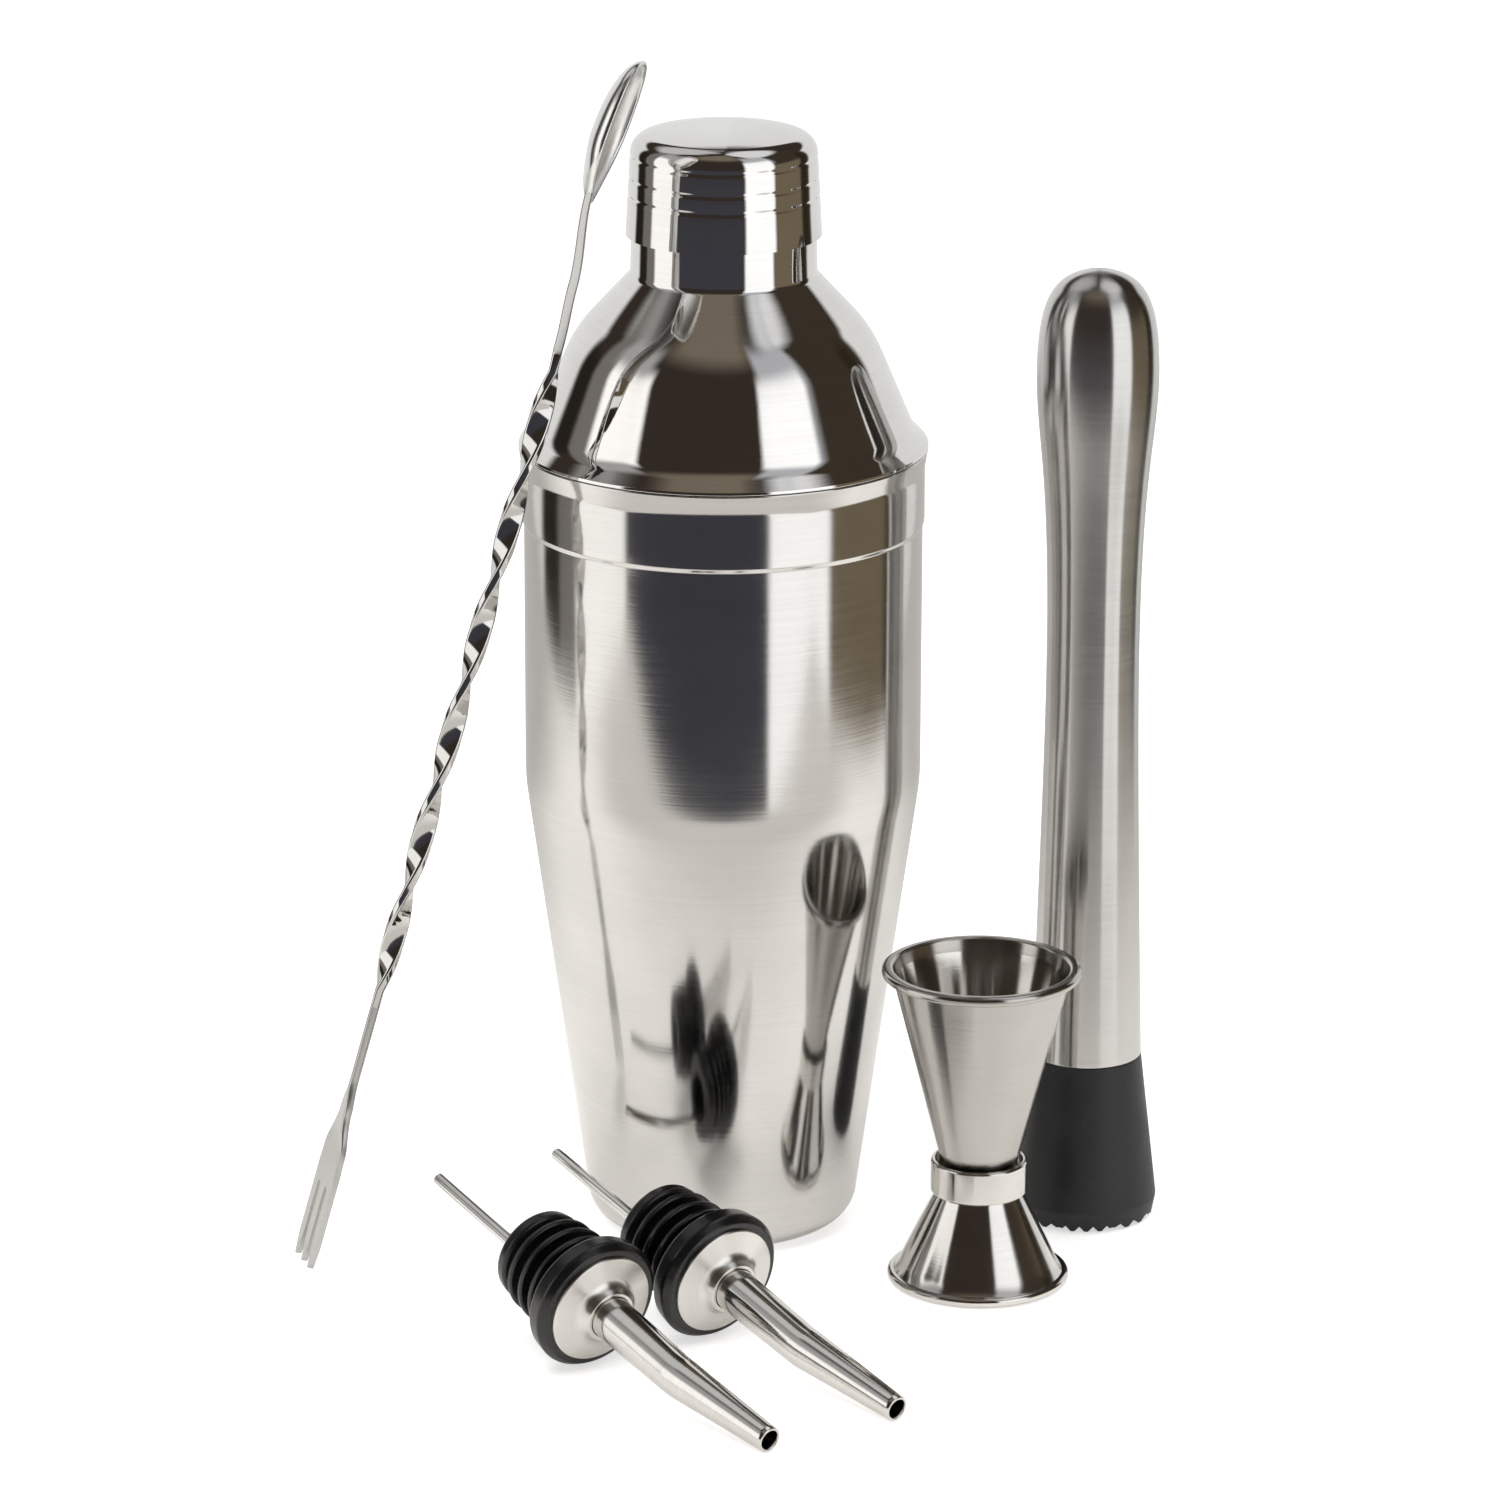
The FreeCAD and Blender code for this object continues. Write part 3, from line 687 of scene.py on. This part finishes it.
# ---- bar spoon ---------------------------------------------------------------------------------
# Drawn upright with the fork's tips at height 0. It leans, heads and rolls by these degrees.
SPOON_LEAN, SPOON_HEADING, SPOON_ROLL = 15.6, 4.6, -6.3
TWIST_FROM, TWIST_TO, TWIST_DEGREES = 64.0, 203.5, 1080.0
# Sections along the bar: (distance from the tips, thickness, width, turn in degrees, shift across,
# corner rounding, slant of the narrow sides).
BAR = [
    (20.0, 1.35, 9.9, 25.0, 0.0, 0.4, 0),
    (26.0, 1.4, 10.0, 25.0, 0.0, 0.4, 0),
    (35.5, 1.8, 6.4, 12.5, 0.0, 0.6, 0),
    (43.0, 2.0, 4.5, 0.0, 0.0, 0.75, 0),
    (TWIST_FROM, 2.0, 4.7, 0.0, 0.0, 0.6, 0),
    (TWIST_TO, 2.0, 4.7, TWIST_DEGREES, 0.0, 0.6, 0),
    (209.0, 2.05, 4.4, TWIST_DEGREES, -0.2, 0.3, 0.6),
    (222.0, 2.05, 4.0, TWIST_DEGREES, -0.8, 0.3, 0.7),
    (241.0, 1.7, 4.7, TWIST_DEGREES, -2.7, 0.35, 0.7),
    (246.0, 1.2, 5.2, TWIST_DEGREES, -3.45, 0.4, 0.3),
    (250.5, 0.5, 3.6, TWIST_DEGREES, -4.1, 0.2, 0),
]
BAR_STEP = 0.35
CORNER_POINTS = 6
BRIGHT_OVERLAP = 4.0             # how far the bright finish runs past the twist at each end
TINE_WIDTH, TINE_PITCH, TINE_LENGTH, TINE_THICKNESS = 2.3, 3.9, 18.0, 1.4
TINE_TAPER = 5.0                 # length of a tine's point
TINE_TIP, TINE_TIP_DROP = 0.4, 0.3
SLOT_STEPS, SLOT_DROP = 8, 0.6
BLADE_WIDE, BLADE_END, BLADE_DRAWN_IN = 22.0, 26.0, 0.3
BLADE_EDGE = 0.25
BOWL_CENTRE = (-0.6, 255.0)      # across and along
BOWL_HALF = (4.8, 10.5, 15.8)    # depth, half width and half length
BOWL_WALL, BOWL_RIM = 0.9, 0.3
BOWL_PITCH, BOWL_TURN = 4.6, -11.0
BOWL_POINT, BOWL_BLUNT = 0.8, 0.5   # how much it narrows to its neck and fills out at its tip
BOWL_ROWS, BOWL_SEGMENTS = 26, 128


def bar_ring(key):
    """A rounded rectangle across the bar."""
    along, thickness, width, turn, across, corner, slant = key
    ring = []
    for quarter in range(4):
        sx, sy = ((1, 1), (-1, 1), (-1, -1), (1, -1))[quarter]
        centre = Vector((sx * (thickness / 2 - corner), sy * (width / 2 - corner)))
        for k in range(CORNER_POINTS):
            angle = math.radians(90 * (quarter + k / (CORNER_POINTS - 1)))
            point = centre + corner * Vector((math.cos(angle), math.sin(angle)))
            ring.append(Vector((point.x, point.y - slant * point.x)))
    spin = Matrix.Rotation(math.radians(turn), 2)
    turned = [spin @ point for point in ring]
    return [(point.x + across, point.y, along) for point in turned]


def bar_rings():
    """Rings along the whole bar, eased from each stated section to the next."""
    rings = []
    for lower, upper in zip(BAR, BAR[1:]):
        count = max(int((upper[0] - lower[0]) / BAR_STEP), 4)
        twisting = lower[0] == TWIST_FROM
        for k in range(count):
            t = k / count
            eased = t if twisting else t * t * (3 - 2 * t)
            row = [a + (b - a) * eased for a, b in zip(lower, upper)]
            row[0] = lower[0] + (upper[0] - lower[0]) * t
            rings.append(bar_ring(row))
    rings.append(bar_ring(BAR[-1]))
    first, last = BAR[0], BAR[-1]
    return [[(first[4], 0.0, first[0])]] + rings + [[(last[4], 0.0, last[0])]]


def fork_outline():
    """Tips and slots of the three-tined fork as (across, along)."""
    half = TINE_WIDTH / 2
    slot = (TINE_PITCH - TINE_WIDTH) / 2
    outline = []
    for tine in (-1, 0, 1):
        y = tine * TINE_PITCH
        outline += [(y - half, TINE_TAPER), (y - TINE_TIP, TINE_TIP_DROP), (y, 0.0)]
        outline += [(y + TINE_TIP, TINE_TIP_DROP), (y + half, TINE_TAPER)]
        if tine == 1:
            continue
        centre = y + TINE_PITCH / 2
        for k in range(SLOT_STEPS + 1):
            angle = math.pi * (1 - k / SLOT_STEPS)
            end = TINE_LENGTH - SLOT_DROP + slot * math.sin(angle)
            outline.append((centre + slot * math.cos(angle), end))
    side = TINE_PITCH + half
    end = side - BLADE_DRAWN_IN
    return outline + [(side, BLADE_WIDE), (end, BLADE_END), (-end, BLADE_END), (-side, BLADE_WIDE)]


def make_fork_blade(material):
    """The flat three-tined blade, its edges softened, turned like the bar's first section."""
    outline = fork_outline()
    half = TINE_THICKNESS / 2
    spin = Matrix.Rotation(math.radians(BAR[0][3]), 3, "Z")
    vertices = [tuple(spin @ Vector((x, y, z))) for x in (-half, half) for y, z in outline]
    count = len(outline)
    faces = [list(range(count)), list(range(2 * count - 1, count - 1, -1))]
    for k in range(count):
        following = (k + 1) % count
        faces.append([k, following, following + count, k + count])
    blade = mesh_object("spoon_tines", vertices, faces, material)
    bevel = blade.modifiers.new("soft_edges", "BEVEL")
    bevel.width = BLADE_EDGE * MM
    bevel.segments = 3
    bevel.limit_method = "ANGLE"
    bevel.angle_limit = math.radians(50)
    bevel.harden_normals = True
    return blade


def make_bowl_shell(material):
    """An egg-shaped shell with a softly rounded rim; its hollow opens towards +X."""
    rings = []
    outside = [math.pi / 2 * (1 - k / BOWL_ROWS) for k in range(BOWL_ROWS + 1)]
    inner = [half - BOWL_WALL for half in BOWL_HALF]
    rows = [(BOWL_HALF, angle, 0.0) for angle in outside]
    middle = [(a + b) / 2 for a, b in zip(BOWL_HALF, inner)]
    rows += [(middle, 0.0, BOWL_RIM)]
    rows += [(inner, angle, 0.0) for angle in outside[::-1]]
    for half, angle, lift in rows:
        flat = math.cos(angle)
        depth = lift - half[0] * math.sin(angle)
        if flat < POLE_R:
            rings.append([(depth, 0.0, 0.0)])
            continue
        ring = []
        for k in range(BOWL_SEGMENTS):
            around = 2 * math.pi * k / BOWL_SEGMENTS
            y, z = math.cos(around), math.sin(around)
            power = 2 - BOWL_POINT * max(-z, 0) ** 0.5 + BOWL_BLUNT * max(z, 0) ** 0.5
            reach = flat * (abs(y) ** power + abs(z) ** power) ** (-1 / power)
            ring.append((depth, half[1] * reach * y, half[2] * reach * z))
        rings.append(ring)
    tilt = Matrix.Rotation(math.radians(BOWL_TURN), 3, "Z")
    tilt = tilt @ Matrix.Rotation(math.radians(BOWL_PITCH), 3, "Y")
    shift = Vector((BOWL_CENTRE[0], 0.0, BOWL_CENTRE[1]))
    rings = [[tuple(tilt @ Vector(point) + shift) for point in ring] for ring in rings]
    return mesh_object("spoon_bowl_shell", *skinned(rings), material)


def spoon_place():
    """The leaning spoon's own axes, put where the CAD's twisted bar has its middle."""
    turn = Matrix.Rotation(math.radians(SPOON_HEADING), 4, "Z")
    turn = turn @ Matrix.Rotation(math.radians(SPOON_LEAN), 4, "Y")
    turn = turn @ Matrix.Rotation(math.radians(SPOON_ROLL), 4, "Z")
    low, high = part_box("spoon_stem")
    middle = (Vector(low) + Vector(high)) / 2
    half_way = Vector((0.0, 0.0, (TWIST_FROM + TWIST_TO) / 2 * MM))
    return Matrix.Translation(middle - turn.to_3x3() @ half_way) @ turn


def make_spoon():
    """Fork blade, twisted bar and bowl, with the bright finish on the twist alone; the bowl's hollow
    carries a painted highlight.
    """
    place = spoon_place()
    satin = steel("spoon_satin_steel", (0.56, 0.555, 0.545), 0.3, smudge=0.04, along=True)
    put(make_fork_blade(satin), "bar_spoon", "spoon_steel", "spoon_fork", place=place)
    bright = steel("spoon_steel", (0.66, 0.655, 0.64), 0.08, smudge=0.02, along=True)
    bar = mesh_object("spoon_bar", *skinned(bar_rings()), bright)
    bar.data.materials.append(satin)
    for face in bar.data.polygons:
        twisted = TWIST_FROM - BRIGHT_OVERLAP < face.center.z / MM < TWIST_TO + BRIGHT_OVERLAP
        face.material_index = 0 if twisted else 1
    put(bar, "bar_spoon", "spoon_steel", "spoon_stem", place=place)
    back = steel("spoon_back_steel", (0.80, 0.795, 0.785), 0.2, smudge=0.03, along=True)
    # painted highlight: the faces of the hollow get near-white steel, brighter than the back, so the inside
    # reads as a white reflection
    hollow = steel("spoon_hollow_painted_highlight_steel", (0.97, 0.965, 0.955), 0.4, smudge=0.04, along=True)
    shell = make_bowl_shell(back)
    shell.data.materials.append(hollow)
    for face in shell.data.polygons:
        face.material_index = int(face.normal.x > 0)
    put(shell, "bar_spoon", "spoon_steel", "spoon_bowl", place=place)


# ---- pourers -----------------------------------------------------------------------------------
# Built upright with the flange's front at height 0: small end of the stopper down, spout up.
SEAT_DEPTH = 6.6                 # from the flange's front back to the bottle's lip, along the axis
FIN_HEIGHTS = (-9.4, -13.4, -17.4)
FIN_R, FIN_TAPER = 11.4, 0.06    # the first fin's radius, and how fast the next ones shrink
FIN_ROOT, FIN_TIP = (1.1, 0.5), (0.6, 0.55)   # half height and rounding
CORE_R, BORE_R = 8.6, 5.5
FLANGE = [
    (BORE_R, 0, 0.2),
    (13.3, 0, 0.8),
    (14.5, -1.6, 1.3),
    (14.0, -5.4, 1.3),
    (12.3, -6.2, 0.6),
    (CORE_R, -SEAT_DEPTH, 0.5),
]
NOSE = [
    (CORE_R, -19.8, 0.4),
    (10.3, -20.6, 0.9),
    (9.9, -23.4, 1.4),
    (8.4, -24.0, 0.6),
    (BORE_R, -24.0, 0.3),
]
DISC = [
    (11.1, 0),
    (11.9, 0, 0.1),
    (11.9, 0.7, 0.35),
    (6.6, 2.2, 3.0),
    (5.5, 4.2, 0.4),
    (4.75, 4.2, 0.15),
    (4.75, 1.4),
    (6.0, 1.4, 0.5),
]
SPOUT_R = (4.7, 4.3, 2.7)        # at its root, its bend and its tip
SPOUT_Z = (1.4, 28.0, 57.0)
SPOUT_BEND, SPOUT_BEND_LENGTH, SPOUT_BEND_DIRECTION = 5.0, 3.0, 30.0
SPOUT_WALL, SPOUT_LIP = 0.6, 0.12
SPOUT_STEPS = (18, 8, 20)        # along the straight root, the bend and the taper
SPOUT_SEGMENTS = 96
AIR_TUBE = (1.3, 0.85, -61.5, 1.0)   # radius, bore radius, and heights of its two ends
AIR_TUBE_AT = (1.2, -4.0)
AIR_TUBE_EDGE = 0.15


def stopper_path():
    """The finned rubber plug with its flange, as a closed section."""
    path = list(FLANGE)
    for z in FIN_HEIGHTS:
        tip = FIN_R + FIN_TAPER * (z - FIN_HEIGHTS[0])
        above = [(CORE_R, z + FIN_ROOT[0], FIN_ROOT[1]), (tip, z + FIN_TIP[0], FIN_TIP[1])]
        below = [(tip, z - FIN_TIP[0], FIN_TIP[1]), (CORE_R, z - FIN_ROOT[0], FIN_ROOT[1])]
        path += above + below
    return path + NOSE


def spout_stations():
    """Places along the bent spout as (across, height, turn, radius), from root to tip."""
    root_steps, bend_steps, taper_steps = SPOUT_STEPS
    bend = math.radians(SPOUT_BEND)
    start = SPOUT_Z[1] - SPOUT_BEND_LENGTH / 2
    radius = SPOUT_BEND_LENGTH / bend
    heights = np.linspace(SPOUT_Z[0], start, root_steps)
    stations = [(0.0, z, 0.0, r) for z, r in zip(heights, np.linspace(SPOUT_R[0], SPOUT_R[1], root_steps))]
    for k in range(1, bend_steps):
        turn = bend * k / bend_steps
        across = radius * (1 - math.cos(turn))
        stations.append((across, start + radius * math.sin(turn), turn, SPOUT_R[1]))
    bend_end = (radius * (1 - math.cos(bend)), start + radius * math.sin(bend))
    length = (SPOUT_Z[2] - bend_end[1]) / math.cos(bend)
    for k in range(taper_steps + 1):
        t = k / taper_steps
        across = bend_end[0] + length * t * math.sin(bend)
        height = bend_end[1] + length * t * math.cos(bend)
        stations.append((across, height, bend, SPOUT_R[1] + (SPOUT_R[2] - SPOUT_R[1]) * t))
    return stations


def spout_rings():
    """Outside from root to tip, then back down the bore: a tapered tube with one slight bend."""
    stations = spout_stations()
    x, z, bend, r = stations[-1]
    before_lip = (x - SPOUT_LIP * math.sin(bend), z - SPOUT_LIP * math.cos(bend), bend, r)
    lip = [(x, z, bend, r - SPOUT_LIP), (x, z, bend, r - SPOUT_WALL + SPOUT_LIP)]
    outside = stations[:-1] + [before_lip]
    bore = [(x, z, turn, r - SPOUT_WALL) for x, z, turn, r in outside[::-1]]
    direction = Matrix.Rotation(math.radians(SPOUT_BEND_DIRECTION), 3, "Z")
    rings = []
    for x, z, turn, r in outside + lip + bore:
        ring = []
        for k in range(SPOUT_SEGMENTS):
            angle = 2 * math.pi * k / SPOUT_SEGMENTS
            u, v = r * math.cos(angle), r * math.sin(angle)
            point = Vector((x + u * math.cos(turn), v, z - u * math.sin(turn)))
            ring.append(tuple(direction @ point))
        rings.append(ring)
    return rings


def lying_place(body):
    """The axes of a lying pourer, taken from the seat where a bottle's lip meets its flange."""
    mounts = {mount["name"]: mount for mount in frame["record"]["mounts"]}
    seat = mounts[f"{body}_bottle_seat"]
    along = -Vector(seat["axis"]).normalized()
    side = Vector((-along.y, along.x, 0)).normalized()
    place = Matrix((side, along.cross(side), along)).transposed().to_4x4()
    place.translation = Vector(seat["pos_m"]) + SEAT_DEPTH * MM * along
    return place


def make_pourers():
    """Two pourers alike, each of a rubber plug, a steel disc, a spout and an air tube."""
    rubber = moulded("pourer_rubber", (0.004, 0.004, 0.0046), 0.24, 0.06, specular=0.65)
    spun = steel("pourer_disc_steel", (0.78, 0.765, 0.735), 0.26, brush=0.7, ring=0.035)
    drawn = steel("pourer_spout_steel", (0.76, 0.745, 0.72), 0.1, ring=0.03)
    thin = steel("air_tube_steel", (0.80, 0.795, 0.78), 0.1)
    tube_r, bore_r, low, high = AIR_TUBE
    tube = [(tube_r, low, AIR_TUBE_EDGE), (tube_r, high), (bore_r, high), (bore_r, low, AIR_TUBE_EDGE)]
    for body in ("pourer_a", "pourer_b"):
        place = lying_place(body)
        stopper = lathe(f"{body}_plug", rounded(stopper_path(), closed=True), rubber, closed=True)
        disc = lathe(f"{body}_cover", rounded(DISC, closed=True), spun, closed=True)
        spout = mesh_object(f"{body}_tube", *skinned(spout_rings(), closed=True), drawn)
        breather = lathe(f"{body}_breather", rounded(tube, closed=True), thin, closed=True, segments=48)
        put(stopper, body, "pourer_rubber", f"{body}_stopper", place=place)
        put(disc, body, "pourer_disc_steel", f"{body}_disc", place=place)
        put(spout, body, "pourer_spout_steel", f"{body}_spout", place=place)
        shift = Matrix.Translation((AIR_TUBE_AT[0] * MM, AIR_TUBE_AT[1] * MM, 0))
        put(breather, body, "air_tube_steel", f"{body}_air_tube", place=place @ shift)


make_studio()
make_shaker()
make_jigger()
make_muddler()
make_spoon()
make_pourers()
